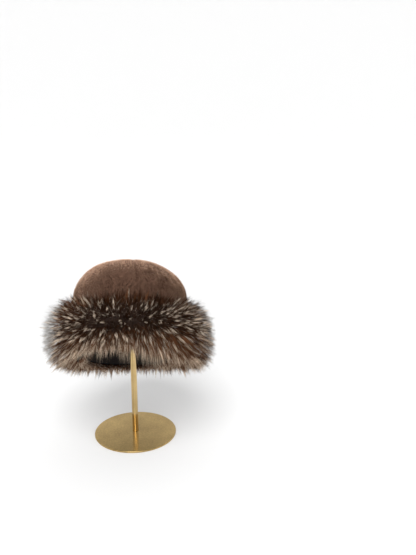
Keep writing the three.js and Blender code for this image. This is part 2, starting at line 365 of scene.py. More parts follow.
PILE_FIELDS = {
    "wave": {"rows": 9, "cells": 60, "seed": 3},
    "lift": {"rows": 16, "cells": 120, "seed": 5},
    "broad_streaks": {"rows": 7, "cells": 150, "seed": 7},
    "fine_streaks": {"rows": 12, "cells": 360, "seed": 9},
    "mottling": {"rows": 24, "cells": 84, "seed": 29},
}
PATCH_SHADE = {"wave": 0.14, "broad_streaks": 0.23, "fine_streaks": 0.161, "mottling": 0.45}
HAIR_SHADE_SPREAD = 0.10
PATCHES_FADE = (1.0, 0.82)
PATCHES_FULL = (0.45, 0.65)
PATCHES_LOW_SHARE = 0.4
MOTTLED_SIDE = (-0.01, 0.02)
LEAST_SHADE = 0.02
# The pile is painted paler up the dome and at its two sides: painted light from above and from the left, and
# painted sheen at the edges.
UPPER_PAINTED_LIGHT = 0.97
UPPER_PAINTED_LIGHT_FADE = (0.46, 0.77)
LEFT_PAINTED_LIGHT = 0.58
LEFT_PAINTED_LIGHT_FADE = (-0.02, -0.085)
RIGHT_PAINTED_SHEEN = 0.34
RIGHT_PAINTED_SHEEN_FADE = (0.045, 0.09)
SEAM_DARKER = 0.6
SEAM_DARK_HALF_WIDTH = 0.0024
PILE_DARK = (0.040, 0.016, 0.007, 1)
PILE_LIGHT = (0.50, 0.29, 0.185, 1)
PILE_TIP_DARK = (0.115, 0.049, 0.024, 1)
PILE_TIP_LIGHT = (0.92, 0.71, 0.57, 1)
# Pile hairs darken towards the root as painted shade among the hairs: most on dark hairs, least on pale
# ones.
PILE_ROOT_PAINTED_SHADE_DARK = 0.25
PILE_ROOT_PAINTED_SHADE_LIGHT = 0.60
PILE_SHEEN_TINT = (0.85, 0.60, 0.44, 1)
HAIR_TAPER = 0.6
THICKNESS_SPREAD = (0.8, 1.2)
MAP_EDGE = 0.01
MAP_HALF_WIDTH = 0.004
LATTICE_ROWS = 256
SURFACE_STEP = 1e-3

dice = np.random.default_rng(41)


def unit(vectors):
    """Vectors of length 1 that point the same way."""
    return vectors / np.linalg.norm(vectors, axis=-1, keepdims=True)


def smooth(low, high, value):
    """0 on low's side, 1 on high's side, and a smooth step between them."""
    t = np.clip((value - low) / (high - low), 0, 1)
    return t * t * (3 - 2 * t)


def drift(around, across, cells, seed):
    """A smooth random field from -1 to 1 round the hat: random values on a lattice with so many cells to a
    turn, blended between the four nearest points."""
    lattice = np.random.default_rng(seed).uniform(-1, 1, (cells, LATTICE_ROWS))
    x = around / (2 * math.pi) * cells
    i, j = np.floor(x).astype(int), np.floor(across).astype(int)
    u, v = smooth(0, 1, x - i), smooth(0, 1, across - j)
    near, far = i % cells, (i + 1) % cells
    low = lattice[near, j % LATTICE_ROWS] * (1 - u) + lattice[far, j % LATTICE_ROWS] * u
    high = lattice[near, (j + 1) % LATTICE_ROWS] * (1 - u) + lattice[far, (j + 1) % LATTICE_ROWS] * u
    return low * (1 - v) + high * v


def crown_radius(height):
    """Half width of the crown's outside: a sine swells it from rim to shoulder, a superellipse closes it."""
    swell = np.sin(np.clip(height / SHOULDER_HEIGHT, 0, 1) * math.pi / 2)
    side = RIM_RADIUS + (SHOULDER_RADIUS - RIM_RADIUS) * swell
    rise = np.clip((height - SHOULDER_HEIGHT) / DOME_RISE, 0, 1)
    dome = SHOULDER_RADIUS * (1 - rise**DOME_FULLNESS) ** (1 / DOME_FULLNESS)
    return np.where(height <= SHOULDER_HEIGHT, side, dome)


def from_seam(point):
    """Distance of a point of the hat from the upright plane that the seam lies in."""
    turn = math.radians(SEAM_TURN_DEGREES)
    return point[..., 0] * math.cos(turn) + point[..., 1] * math.sin(turn)


def cap_point(around, along, inset):
    """A point of the crown's form: along runs from 0 at the rim to 1 at the top, up the side and then over
    the dome by its angle, and inset draws it in. Seam and dents are pressed in, each by a bell curve of its
    distance, and the round is stretched to an oval."""
    share = np.clip(along / SIDE_SHARE, 0, 1)
    angle = np.clip((along - SIDE_SHARE) / (1 - SIDE_SHARE), 0, 1) * math.pi / 2
    on_side = along < SIDE_SHARE
    power = 2 / DOME_FULLNESS
    dome_height = SHOULDER_HEIGHT + (DOME_RISE - inset) * np.sin(angle) ** power
    height = np.where(on_side, share * SHOULDER_HEIGHT, dome_height)
    dome = (SHOULDER_RADIUS - inset) * np.clip(np.cos(angle), 0, 1) ** power
    radius = np.where(on_side, crown_radius(height) - inset, dome)
    around, height, radius = np.broadcast_arrays(around, height, radius)
    point = np.stack([radius * np.cos(around), radius * np.sin(around), height], axis=-1)
    press = SEAM_DEPTH * np.exp(-((from_seam(point) / SEAM_HALF_WIDTH) ** 2))
    for dent in DENTS:
        level = SHOULDER_HEIGHT + DOME_RISE * dent["up"]
        way = math.radians(dent["around"])
        reach = crown_radius(np.array(level))
        spot = np.array([reach * math.cos(way), reach * math.sin(way), level])
        press = press + dent["depth"] * np.exp(-((point - spot) ** 2).sum(-1) / dent["radius"] ** 2)
    press = press * smooth(PRESS_STARTS, PRESS_IS_FULL, height)
    inwards = unit(np.array([0, 0, PRESS_CENTRE]) - point)
    point = point + inwards * press[..., None]
    return point * [1, OVAL_DEPTH, 1]


def hung(point):
    """Places a point of the hat where it hangs: cocked about Y, tipped back about X, then turned about Z."""
    tip, cock, turn = np.radians([-TIP_BACK_DEGREES, COCK_DEGREES, TURN_DEGREES])
    about_x = np.array([[1, 0, 0], [0, np.cos(tip), -np.sin(tip)], [0, np.sin(tip), np.cos(tip)]])
    about_y = np.array([[np.cos(cock), 0, np.sin(cock)], [0, 1, 0], [-np.sin(cock), 0, np.cos(cock)]])
    about_z = np.array([[np.cos(turn), -np.sin(turn), 0], [np.sin(turn), np.cos(turn), 0], [0, 0, 1]])
    return (point - [0, 0, BALANCE_ABOVE_RIM]) @ (about_z @ about_x @ about_y).T + BALANCE_PLACE


def cap_rows(inset, wall, lowest, steps, segments):
    """Rows of a cap with an inside and an outside: from inner top to rim, and up to the outer top."""
    around = np.linspace(0, 2 * math.pi, segments, endpoint=False)
    along = np.linspace(lowest, 1, steps)
    inner = [hung(cap_point(around, np.array(t), inset + wall)) for t in along[-2::-1]]
    outer = [hung(cap_point(around, np.array(t), inset)) for t in along[:-1]]
    tops = [hung(cap_point(np.zeros(1), np.array(1.0), depth)) for depth in (inset + wall, inset)]
    return [tops[0], *inner, *outer, tops[1]]


def hair_batch(lines, thickness, shade):
    """Closed three-sided hairs along lines of points: a triangle about every point but the last, the tip.
    In the hair's map u is its shade and v runs from 0 at the root to 1 at the tip."""
    count, points = lines.shape[:2]
    rings = points - 1
    way = unit(lines[:, -1] - lines[:, 0])
    aside = unit(np.cross(way, np.where(np.abs(way[:, 2:]) < 0.8, [[0, 0, 1.0]], [[1.0, 0, 0]])))
    third = np.cross(way, aside)
    turn = np.arange(3) * 2 * math.pi / 3
    ring = np.cos(turn)[None, :, None] * aside[:, None] + np.sin(turn)[None, :, None] * third[:, None]
    taper = thickness[:, None] * np.linspace(1, HAIR_TAPER, rings)[None]
    tubes = lines[:, :-1, None] + taper[..., None, None] * ring[:, None]
    vertices = np.concatenate([tubes.reshape(count, -1, 3), lines[:, -1:]], axis=1)
    level = np.linspace(0, 1, points)
    corners, sizes, chart = [2, 1, 0], [3], [(-1, 0), (1, 0), (0, 0.02)]
    for low in range(rings):
        for k in range(3):
            a, b = 3 * low + k, 3 * low + (k + 1) % 3
            if low < rings - 1:
                corners += [a, b, b + 3, a + 3]
                sizes += [4]
                chart += [(-1, level[low]), (1, level[low]), (1, level[low + 1]), (-1, level[low + 1])]
            else:
                corners += [a, b, 3 * rings]
                sizes += [3]
                chart += [(-1, level[low]), (1, level[low]), (0, 1)]
    corners = np.array(corners)[None] + (3 * rings + 1) * np.arange(count)[:, None]
    chart = np.array(chart, float)
    u = np.clip(shade, MAP_EDGE, 1 - MAP_EDGE)[:, None] + MAP_HALF_WIDTH * chart[None, :, 0]
    chart = np.stack(np.broadcast_arrays(u, chart[None, :, 1]), axis=-1)
    return vertices.reshape(-1, 3), corners.ravel(), np.tile(sizes, count), chart.reshape(-1, 2)


def hair_mesh(name, batches):
    """One mesh of several batches of hairs, with their map."""
    vertices, corners, sizes, charts = zip(*batches)
    first = np.cumsum([0] + [len(part) for part in vertices])
    corners = np.concatenate([part + start for part, start in zip(corners, first)])
    sizes = np.concatenate(sizes)
    mesh = bpy.data.meshes.new(name)
    mesh.vertices.add(first[-1])
    mesh.vertices.foreach_set("co", np.concatenate(vertices).astype(np.float32).ravel())
    mesh.loops.add(len(corners))
    mesh.loops.foreach_set("vertex_index", corners.astype(np.int32))
    mesh.polygons.add(len(sizes))
    mesh.polygons.foreach_set("loop_start", np.r_[0, np.cumsum(sizes)[:-1]].astype(np.int32))
    mesh.polygons.foreach_set("use_smooth", np.ones(len(sizes), bool))
    mesh.update(calc_edges=True)
    layer = mesh.uv_layers.new(name="OFBake")
    layer.uv.foreach_set("vector", np.concatenate(charts).astype(np.float32).ravel())
    return mesh


def pile_field(name, around, along):
    """A soft random field that the pile follows, so that neighbours lie alike."""
    row = PILE_FIELDS[name]
    return drift(around, along * row["rows"], row["cells"], row["seed"])


def pile_shade(around, along, root):
    """Shade of each pile hair from its root's place: paler up the dome and at the two sides, which is
    painted light from above and from the left and painted sheen at the edges; darker in the seam, with
    waves, streaks and mottling that are weaker low down. The last two end below the top."""
    apart = from_seam(root / [1, OVAL_DEPTH, 1])
    below_top = smooth(*PATCHES_FADE, along)
    spread = {"wave": 1, "broad_streaks": below_top, "fine_streaks": below_top}
    spread["mottling"] = below_top * smooth(*MOTTLED_SIDE, apart)
    patches = HAIR_SHADE_SPREAD * dice.normal(size=len(along))
    for name, part in spread.items():
        patches = patches + PATCH_SHADE[name] * pile_field(name, around, along) * part
    patches = patches * (PATCHES_LOW_SHARE + (1 - PATCHES_LOW_SHARE) * smooth(*PATCHES_FULL, along))
    # Painted light up the dome and at the sides: light from above and from the left, and sheen at the edges.
    upper = UPPER_PAINTED_LIGHT * smooth(*UPPER_PAINTED_LIGHT_FADE, along)
    sides = LEFT_PAINTED_LIGHT * smooth(*LEFT_PAINTED_LIGHT_FADE, root[:, 0]) + RIGHT_PAINTED_SHEEN * smooth(*RIGHT_PAINTED_SHEEN_FADE, root[:, 0])
    seam = np.exp(-((apart / SEAM_DARK_HALF_WIDTH) ** 2)) * smooth(PRESS_STARTS, PRESS_IS_FULL, root[:, 2])
    return LEAST_SHADE + patches + upper + sides - SEAM_DARKER * seam


def crown_pile():
    """Short hairs over the crown above the cuff, at random places kept in proportion to the area there. Each
    stands off the wall and leans down along it, as the pile was brushed, and aside by a soft wave."""
    drawn = PILE_DRAWS * PILE_HAIRS
    around = dice.uniform(0, 2 * math.pi, drawn)
    along = dice.uniform(PILE_LOWEST / SHOULDER_HEIGHT * SIDE_SHARE, PILE_TOPMOST, drawn)
    root = cap_point(around, along, BACKING_INSET)
    across = cap_point(around + SURFACE_STEP, along, BACKING_INSET) - root
    upward = root - cap_point(around, along - SURFACE_STEP, BACKING_INSET)
    area = np.linalg.norm(np.cross(across, upward), axis=1)
    kept = np.flatnonzero(dice.uniform(0, area.max(), drawn) < area)[:PILE_HAIRS]
    around, along, root, across, upward = (a[kept] for a in (around, along, root, across, upward))
    normal = unit(np.cross(across, upward))
    lean = -PILE_LEAN * (1 + PILE_LEAN_DRIFT * pile_field("lift", around, along))
    aside = PILE_WAVE * pile_field("wave", around, along) + PILE_RUFFLE * dice.normal(size=len(kept))
    way = unit(normal + unit(upward) * lean[:, None] + unit(across) * aside[:, None])
    length = PILE_LENGTH * dice.uniform(*PILE_LENGTH_SPREAD, len(kept))
    tip = root + way * length[:, None]
    shade = pile_shade(around, along, root)
    thickness = PILE_THICKNESS * dice.uniform(*THICKNESS_SPREAD, len(kept))
    lines = np.stack([root - normal * PILE_ROOT_DEPTH, tip], axis=1)
    return hair_mesh("crown_pile", [hair_batch(hung(lines), thickness, shade)])


sheen = {"Sheen_Weight": 0.12, "Sheen_Roughness": 0.4, "Sheen_Tint": PILE_SHEEN_TINT}
pile, pile_shader = new_material("sheared_pile", Roughness=0.8, Specular_IOR_Level=0.0, **sheen)
tree = pile.node_tree
chart = new_node(tree, "UVMap", uv_map="OFBake")
parts = new_node(tree, "SeparateXYZ", {"Vector": chart.outputs["UV"]}).outputs
body = mixed(tree, parts["X"], PILE_DARK, PILE_LIGHT)
tips = mixed(tree, parts["X"], PILE_TIP_DARK, PILE_TIP_LIGHT)
upper_half = {"Value": parts["Y"], "From Min": 0.5}
near_tip = new_node(tree, "MapRange", upper_half, interpolation_type="SMOOTHSTEP").outputs["Result"]
# Painted shade among the hairs: each pile hair darkens over its lower half towards the root, less on pale
# hairs.
roots = {"Value": parts["X"], "To Min": PILE_ROOT_PAINTED_SHADE_DARK, "To Max": PILE_ROOT_PAINTED_SHADE_LIGHT}
painted_root_shade = new_node(tree, "MapRange", roots).outputs["Result"]
lower_half = {"Value": parts["Y"], "From Max": 0.5, "To Min": painted_root_shade}
depth = new_node(tree, "MapRange", lower_half).outputs["Result"]
shaded = new_node(tree, "VectorMath", {0: mixed(tree, near_tip, body, tips), 1: depth}, operation="MULTIPLY")
tree.links.new(shaded.outputs["Vector"], pile_shader.inputs["Base Color"])

hat_up = hung(np.array([0, 0, 1.0])) - hung(np.zeros(3))
rim_level = float(hung(np.zeros(3)) @ hat_up)
backing, backing_shader = new_material("pile_backing", Roughness=0.95)
tree = backing.node_tree
place = new_node(tree, "TexCoord").outputs["Object"]
weave = new_node(tree, "TexNoise", {"Vector": place, "Scale": 420.0, "Detail": 3.0}).outputs["Fac"]
level = new_node(tree, "VectorMath", {0: place, 1: hat_up.tolist()}, operation="DOT_PRODUCT")
# Painted shade: the backing passes to near black below the pile, where the fur cuff covers it.
edge = {"From Min": rim_level + 0.8 * PILE_LOWEST, "From Max": rim_level + PILE_LOWEST}
above = new_node(tree, "MapRange", {"Value": level.outputs["Value"], **edge}).outputs["Result"]
tone = mixed(tree, above, BACKING_PAINTED_SHADE, BACKING_BROWN)
bump = new_node(tree, "Bump", {"Height": weave, "Strength": 0.5, "Distance": 0.001})
tree.links.new(tone, backing_shader.inputs["Base Color"])
tree.links.new(bump.outputs["Normal"], backing_shader.inputs["Normal"])

crown_rows = cap_rows(BACKING_INSET, CROWN_WALL - BACKING_INSET, 0.0, CROWN_STEPS, CROWN_SEGMENTS)
crown_wall = add_piece("crown_wall", skin("crown_wall", crown_rows), backing)
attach(crown_wall, "root")
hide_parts("crown")
crown_hair = add_piece("crown_pile", crown_pile(), pile)
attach(crown_hair, "root")


# Lining: a cap of thin black woven cloth inside the crown, sewn in at the rim.
# It shows under the raised front of the cuff.
LINING_GAP = 0.0008
LINING_WALL = 0.0012
LINING_LOWEST = 0.013
LINING_STEPS = 34
LINING_SEGMENTS = 84
LINING_DARK = (0.010, 0.007, 0.006, 1)
LINING_LIGHT = (0.034, 0.023, 0.020, 1)
LINING_SHEEN_TINT = (0.80, 0.58, 0.50, 1)
THREAD_SCALE = 90.0

sheen = {"Sheen_Weight": 0.15, "Sheen_Tint": LINING_SHEEN_TINT}
cloth, cloth_shader = new_material("lining_cloth", Roughness=0.62, **sheen)
tree = cloth.node_tree
place = new_node(tree, "TexCoord").outputs["Object"]
threads = {"Vector": place, "Scale": THREAD_SCALE, "Distortion": 1.5}
warp = new_node(tree, "TexWave", threads, bands_direction="X").outputs["Fac"]
weft = new_node(tree, "TexWave", threads, bands_direction="Z").outputs["Fac"]
weave = new_node(tree, "Math", {0: warp, 1: weft}, operation="MULTIPLY").outputs["Value"]
bump = new_node(tree, "Bump", {"Height": weave, "Strength": 0.3, "Distance": 0.0003})
tree.links.new(mixed(tree, weave, LINING_DARK, LINING_LIGHT), cloth_shader.inputs["Base Color"])
tree.links.new(bump.outputs["Normal"], cloth_shader.inputs["Normal"])

lining_rows = cap_rows(CROWN_WALL + LINING_GAP, LINING_WALL, LINING_LOWEST, LINING_STEPS, LINING_SEGMENTS)
lining = add_piece("lining_cap", skin("lining_cap", lining_rows), cloth)
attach(lining, "root")
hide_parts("lining")


# Fur cuff: a deep band of long-haired fur sewn round the lower half of the crown, dark brown with pale tips.
# Dense underfur fills the middle, and locks of longer hair fan out from its core: up, straight out and down.
# Angles are in degrees: around goes round the hat from its +X side, and slope is up from straight out.
CORE_OUT = 0.012
CORE_HEIGHT = 0.040
FAN = [
    {"slope": 95, "reach": 0.052, "pale": 0.04, "warmth": 1.2},
    {"slope": 72, "reach": 0.059, "pale": 0.10, "warmth": 0.8},
    {"slope": 49, "reach": 0.050, "pale": 0.26, "warmth": 0.3},
    {"slope": 25, "reach": 0.044, "pale": 0.40, "warmth": 0.2},
    {"slope": 3, "reach": 0.042, "pale": 0.52, "warmth": 0.4},
    {"slope": -20, "reach": 0.044, "pale": 0.56, "warmth": 0.8},
    {"slope": -42, "reach": 0.050, "pale": 0.58, "warmth": 1.3},
    {"slope": -63, "reach": 0.060, "pale": 0.66, "warmth": 1.7},
    {"slope": -81, "reach": 0.061, "pale": 0.74, "warmth": 2.0},
    {"slope": -100, "reach": 0.050, "pale": 0.60, "warmth": 2.0},
]
SWELLS = [
    {"around": 190, "slope": 48, "amount": 0.16, "half_turn": 40},
    {"around": 222, "slope": -62, "amount": 0.12, "half_turn": 40},
    {"around": 322, "slope": -62, "amount": 0.14, "half_turn": 40},
    {"around": 90, "slope": -80, "amount": -0.20, "half_turn": 40},
    {"around": 270, "slope": -80, "amount": -0.07, "half_turn": 40},
    {"around": 218, "slope": -92, "amount": -0.30, "half_turn": 40},
    {"around": 308, "slope": -90, "amount": 0.10, "half_turn": 40},
    {"around": 180, "slope": 0, "amount": 0.16, "half_turn": 18},
    {"around": 207, "slope": 0, "amount": -0.28, "half_turn": 18},
]
SWELL_HALF_SLOPE = 34
TONE_PATCHES = [
    {"around": 266, "slope": -14, "half_turn": 34, "half_slope": 26, "warmth": -0.6, "pale": -0.26},
    {"around": 268, "slope": 44, "half_turn": 40, "half_slope": 20, "warmth": 0.0, "pale": 0.12},
    {"around": 204, "slope": 32, "half_turn": 30, "half_slope": 44, "warmth": 1.1, "pale": 0.14},
    {"around": 338, "slope": 40, "half_turn": 28, "half_slope": 34, "warmth": 1.0, "pale": 0.28},
    {"around": 318, "slope": -58, "half_turn": 30, "half_slope": 26, "warmth": 0.2, "pale": -0.16},
    {"around": 262, "slope": -74, "half_turn": 44, "half_slope": 20, "warmth": 0.0, "pale": 0.38},
]
FADED_PATCHES = [
    {"around": 190, "half_turn": 16, "share": 0.97},
    {"around": 2, "half_turn": 24, "share": 0.88},
]
FADED_SLOPES = (-72, -36)
FADED_PALER = 0.24
FADED_KIND = 3
# The roots' near-black colours are partly the hair's own and partly painted shade deep in the fur.
HAIR_KINDS = [
    {"root": (0.005, 0.002, 0.001), "middle": (0.036, 0.0145, 0.0065), "band": (0.012, 0.005, 0.0025),
     "tip": (0.90, 0.73, 0.57), "dark_end": 0.6},
    {"root": (0.007, 0.003, 0.0015), "middle": (0.078, 0.031, 0.013), "band": (0.032, 0.0125, 0.006),
     "tip": (0.90, 0.73, 0.57), "dark_end": 0.35},
    {"root": (0.014, 0.0055, 0.0025), "middle": (0.190, 0.078, 0.036), "band": (0.130, 0.054, 0.025),
     "tip": (0.90, 0.72, 0.54), "dark_end": 0.1},
    {"root": (0.016, 0.013, 0.012), "middle": (0.180, 0.160, 0.146), "band": (0.350, 0.325, 0.305),
     "tip": (0.93, 0.92, 0.91), "dark_end": 0.0},
]
KIND_SPREAD = 0.4
STRIP_EDGE = 0.05
ROOT_TO_MIDDLE = (0.0, 0.45)
MIDDLE_TO_BAND = (0.38, 0.60)
TIP_STARTS = (0.74, 0.34)
TIP_RISE = 0.22
PALE_SHADES = (0.10, 0.75)
DARK_END_STARTS = 0.84
UNDERFUR_SHARE = 0.56
UNDERFUR_BACK = 0.0105
UNDERFUR_FRONT_DEGREES = (118, 80)
UNDERFUR_ROUGHNESS = 0.07
UNDERFUR_STEPS = 44
UNDERFUR_SEGMENTS = 144
UNDERFUR_DARK = (0.006, 0.004, 0.003, 1)
UNDERFUR_BROWN = (0.045, 0.019, 0.009, 1)
FRONT_DEGREES = -90
COMB_DEGREES = 17
COMB_CENTRE_DEGREES = -121
SIDE_FLATTENING_BELOW = 0.4
SIDE_FLATTENING_ABOVE = 0.75
UPRIGHT_DEGREES = (56, 90)
DROOP = 0.003
BENT_HAIR_DROOP = np.array([0.3, 1.0])
ZONES = [
    {"name": "fur_upper", "from": 46, "to": 94},
    {"name": "fur_middle", "from": 0, "to": 46},
    {"name": "fur_lower", "from": -48, "to": 0},
    {"name": "fur_under", "from": -98, "to": -48},
]
ZONE_LOCKS = 430
LOCK_HAIRS = 20
LOCK_HAIR_THICKNESS = 0.00034
LOCK_SPREADS = (0.0062, 0.0028, 0.0008)
LOCK_ROOT_SHARE = 0.36
LOCK_SWAY_DEGREES = 10
LOCK_SLOPE_DEGREES = 6
LOCK_CHANCE = 0.6
LOCK_FIELDS = {
    "sway": {"degrees": 16, "cells": 40, "seed": 13},
    "tilt": {"degrees": 14, "cells": 44, "seed": 17},
    "length": {"degrees": 12, "cells": 56, "seed": 19},
}
LOCK_LENGTH_CHANCE = 0.06
LOCK_LENGTH_DRIFT = 0.05
LOCK_SHORTER = 0.30
LOCK_SHORTER_POWER = 1.6
LOCK_CURL = 0.0020
LOCK_HAIR_CURL = 0.0005
LOCK_PALE_SPREAD = (0.16, 0.40)
LOCK_SIDES_PALER = 0.26
LOCK_PALEST = (0.03, 0.97)
LOCK_RIM_DARKER = 0.7
LOCK_SHADE_SPREAD = 0.05
GOLDEN_SHARE = 0.6180339887
LOOSE_HAIRS = {"count": 3200, "bent": True, "root": 0.4, "tips": (0.80, 1.06), "jitter": 13,
               "thickness": 0.00024, "palest": 1.3}
UNDERHAIRS = {"count": 15500, "bent": False, "root": 0.42, "tips": (0.62, 0.88), "jitter": 14,
              "thickness": 0.00046, "palest": 0.35}
LOOSE_HAIR_CURL = 0.0018
RIM_HAIRS = 2200
RIM_HAIR_INSET = 0.0058
RIM_HAIR_HEIGHTS = (0.000, 0.007)
RIM_HAIR_LENGTHS = (0.008, 0.022)
RIM_HAIR_ARC_DEGREES = (-40, 208)
RIM_HAIR_SLOPES = (-165, -88)
RIM_HAIR_SWAY_DEGREES = 12
RIM_HAIR_SHADES = (0.1, 0.9)
WISPS = 44
WISP_HAIRS = 9
WISP_ARC_DEGREES = (200, 304)
WISP_SPREAD_DEGREES = 2.2
WISP_SLOPES = (-100, -68)
WISP_SLOPE_SPREAD_DEGREES = 3
WISP_SWAY_DEGREES = 7
WISP_EXTRA = (0.02, 0.24)
WISP_EXTRA_POWER = 1.5
WISP_EXTRA_SPREAD = 0.06
WISP_ROOT_SHARE = 0.5
WISP_CURL = 0.0016
WISP_DROOP = 0.006
WISP_SHADES = (0.25, 1.0)
WISP_SHADE_SPREAD = 0.1


def fan(column, slope):
    """A column of the fan's table at a slope in degrees, straight between its rows."""
    rows = sorted(FAN, key=lambda row: row["slope"])
    return np.interp(slope, [row["slope"] for row in rows], [row[column] for row in rows])


def turn_from(around, degrees):
    """Turn in degrees from a place round the hat to an angle in radians, between -180 and 180."""
    return (np.degrees(around) - degrees + 180) % 360 - 180


def nearness(patch, half_slope, around, slope):
    """1 in the middle of a patch of the fur, falling off round the hat and up and down by a bell curve."""
    turn = turn_from(around, patch["around"]) / patch["half_turn"]
    return np.exp(-(turn**2) - ((slope - patch["slope"]) / half_slope) ** 2)


def fur_tone(column, around, slope):
    """The fan's paleness or warmth at a slope, changed by each patch of tone by as much as it lies near."""
    tone = fan(column, slope)
    for patch in TONE_PATCHES:
        tone = tone + patch[column] * nearness(patch, patch["half_slope"], around, slope)
    return tone


def sideways(around):
    """0 at the front and back of the hat and 1 at its two sides, by a squared sine."""
    return np.sin(around - math.radians(FRONT_DEGREES)) ** 2


def cuff_point(around, out, height):
    """A point of the cuff by its angle round the hat, distance out from the crown's side, and height."""
    radius = crown_radius(np.array(CORE_HEIGHT)) + out
    return np.stack([radius * np.cos(around), radius * np.sin(around) * OVAL_DEPTH, height], axis=-1)


def underfur_rows():
    """The underfur's roll: a closed section about the core, a share of the fan's reach deep in front and
    close to the crown behind, carried round the hat and roughened by a random drift."""
    around = np.linspace(0, 2 * math.pi, UNDERFUR_SEGMENTS, endpoint=False)
    front_from, front_to = np.cos(np.radians(UNDERFUR_FRONT_DEGREES))
    rows = []
    for slope in np.linspace(-180, 180, UNDERFUR_STEPS, endpoint=False):
        out, up = math.cos(math.radians(slope)), math.sin(math.radians(slope))
        front = smooth(front_from, front_to, out)
        depth = UNDERFUR_BACK + front * (UNDERFUR_SHARE * fan("reach", slope) - UNDERFUR_BACK)
        rough = UNDERFUR_ROUGHNESS * front * drift(around, 0 * around + slope / 9, 120, 11)
        depth = depth * (1 + rough)
        rows.append(hung(cuff_point(around, CORE_OUT + depth * out, CORE_HEIGHT + depth * up)))
    return rows


def fan_ways(around, slope, sway):
    """Directions out from the core: up by a slope and turned round the hat by a sway, both in degrees."""
    lean, turn = np.radians(slope), np.radians(sway) + around
    return np.stack([np.cos(lean) * np.cos(turn), np.cos(lean) * np.sin(turn), np.sin(lean)], axis=-1)


def spread_slopes(zone, count):
    """Slopes in a zone, each as likely as the fur there is deep, so that the tips lie evenly."""
    fine = np.linspace(zone["from"], zone["to"], 400)
    weight = np.cumsum(fan("reach", fine))
    share = dice.permutation((np.arange(count) + dice.uniform(0, 1, count)) / count)
    return np.interp(share, weight / weight[-1], fine)


def combed(around):
    """Sway of the fur as it was brushed, in degrees: to both sides from a point at the front."""
    return COMB_DEGREES * np.sin(around - math.radians(COMB_CENTRE_DEGREES))


def fan_hair(around, slope, tilt, sway):
    """Tip of a full-length hair, its direction and the fan's reach there. The tip lies on the fan. At the
    sides of the hat the hair is less steep than the fan: its root lies higher or lower than the core."""
    reach = fan("reach", slope)
    for swell in SWELLS:
        reach = reach * (1 + swell["amount"] * nearness(swell, SWELL_HALF_SLOPE, around, slope))
    core = cuff_point(around, CORE_OUT, 0 * around + CORE_HEIGHT)
    tip = core + fan_ways(around, tilt, 0.5 * sway) * reach[:, None]
    above = SIDE_FLATTENING_ABOVE * (1 - smooth(*UPRIGHT_DEGREES, tilt))
    flattening = np.where(tilt < 0, SIDE_FLATTENING_BELOW, above)
    return tip, fan_ways(around, tilt * (1 - flattening * sideways(around)), sway), reach


def hair_kinds(around, slope):
    """Kind of each hair: darkest at mid height, redder below, and many grey ones at the hat's two sides."""
    warmth = fur_tone("warmth", around, slope) + KIND_SPREAD * dice.normal(size=len(slope))
    kind = np.clip(np.rint(warmth), 0, FADED_KIND - 1)
    faded = np.zeros(len(around))
    for patch in FADED_PATCHES:
        turn = turn_from(around, patch["around"]) / patch["half_turn"]
        faded = faded + patch["share"] * np.exp(-(turn**2))
    faded = faded * smooth(*FADED_SLOPES, slope)
    return np.where(dice.uniform(0, 1, len(slope)) < faded, FADED_KIND, kind)


def map_u(kind, shade):
    """The hair map's u: a strip for each kind of hair, and in it the shade, clear of the strip's edges.
    Faded hairs are paler than the rest."""
    shade = shade + FADED_PALER * (kind == FADED_KIND)
    return (kind + np.clip(shade, STRIP_EDGE, 1 - STRIP_EDGE)) / len(HAIR_KINDS)


def lock_field(name, around, slope):
    """A soft random field that the locks follow, so that neighbours bend alike."""
    row = LOCK_FIELDS[name]
    return drift(around, slope / row["degrees"], row["cells"], row["seed"])


